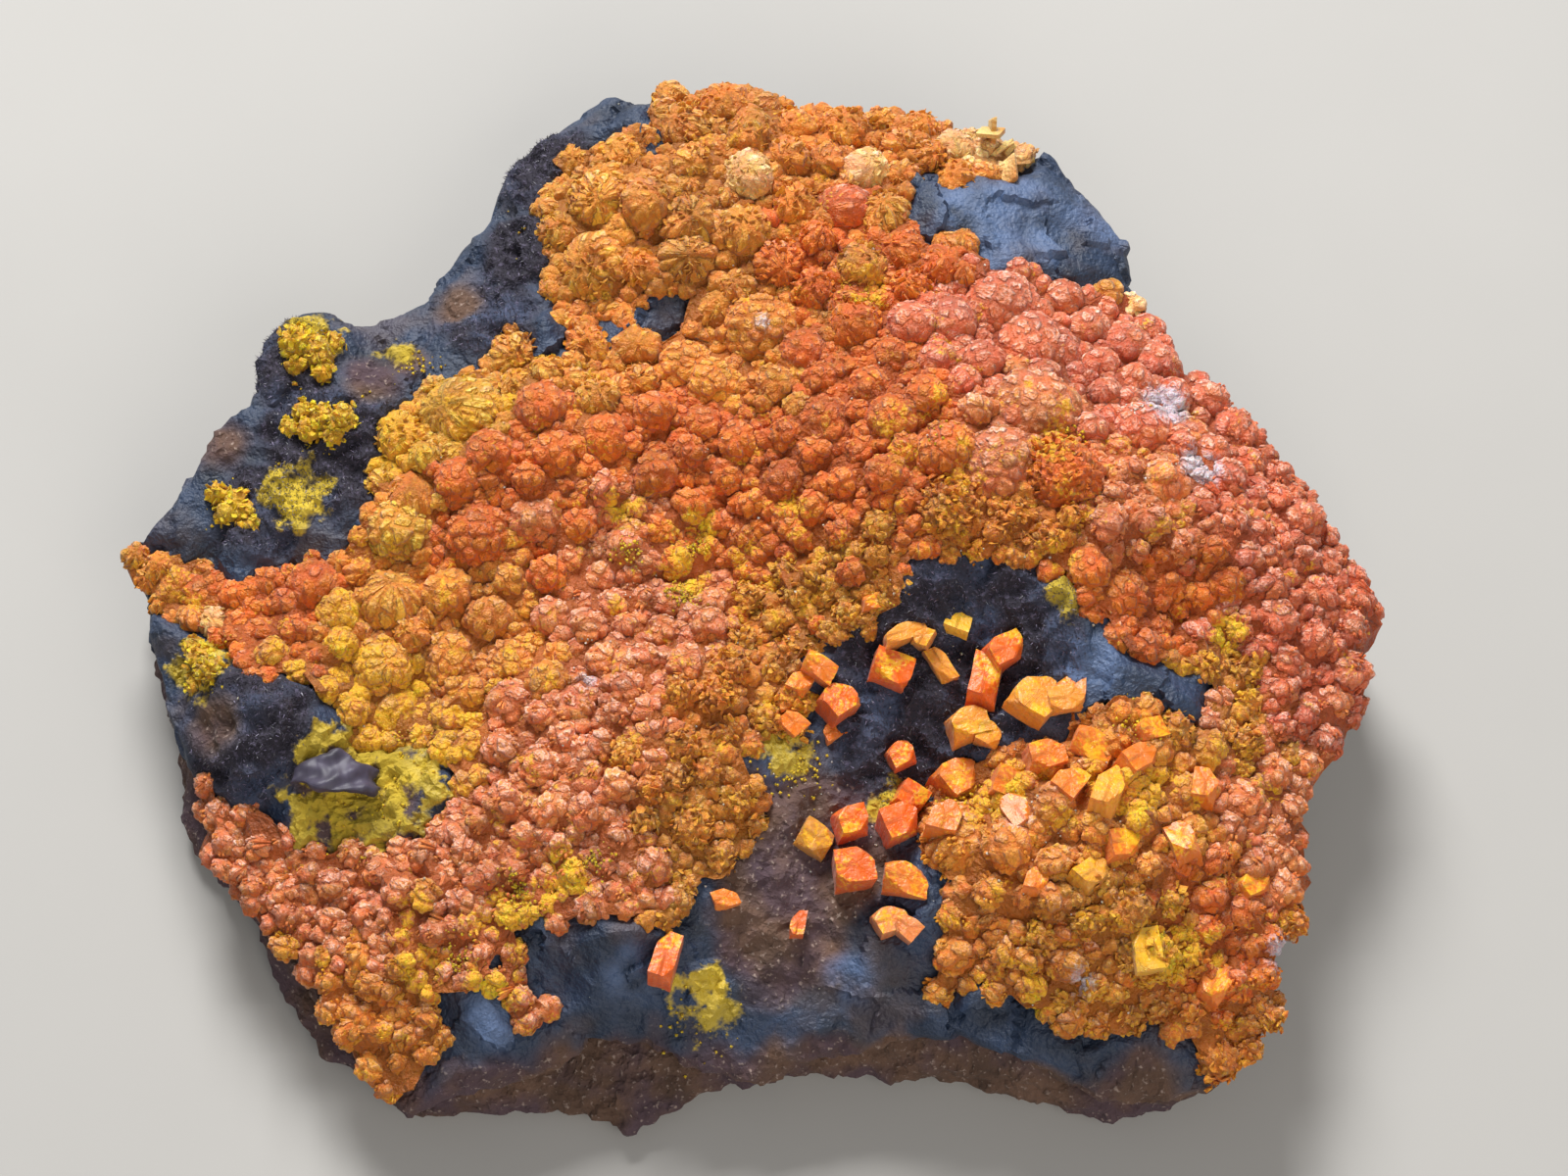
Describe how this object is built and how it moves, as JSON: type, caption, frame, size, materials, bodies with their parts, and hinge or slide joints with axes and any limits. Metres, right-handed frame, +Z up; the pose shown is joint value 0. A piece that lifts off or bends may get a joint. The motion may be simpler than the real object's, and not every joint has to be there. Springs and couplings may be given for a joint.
{
  "type": "francevillite on matrix",
  "caption": "Flat iron-oxide rock carrying a druse of orange francevillite lumps, with a bare hollow where single crystals stand.",
  "frame": {"origin": "middle of the flat base, under the middle of the specimen's outline", "axes": "+Z up through the druse, +X towards the east point with the hollow to the right of the middle, -Y towards the layered front edge"},
  "size_m": [0.0618, 0.0524, 0.0139],
  "materials": {
    "goethite": "velvety to dull blue-black goethite over brown earthy iron oxide",
    "francevillite": "ball-like crystal lumps with small glassy to waxy faces, orange with pink, ochre and yellow zones",
    "crystal": "single translucent orange crystals with flat faces",
    "yellow_powder": "powdery yellow groups",
    "dark_flake": "dull purple-brown curved flake"
  },
  "bodies": {
    "root": {"matrix": "goethite", "francevillite_crust": "francevillite", "dark_flake": "dark_flake", "knob_cluster": "yellow_powder", "floor_cluster": "yellow_powder", "slope_cluster": "yellow_powder", "shelf_cluster": "yellow_powder", "slab_crystal": "crystal", "rhomb_crystal": "crystal", "west_barrel": "crystal", "dome_wreath": "crystal", "yellow_plate": "crystal", "barrel_pair": "crystal", "square_plate": "crystal", "golden_group": "crystal", "round_crystal": "crystal", "pit_crystal": "crystal", "fan_crystal": "crystal", "block_crystal": "crystal", "pointed_group": "crystal", "low_block": "crystal", "low_group": "crystal", "slope_crystal": "crystal", "window_crystal": "crystal"}
  },
  "joints": []
}
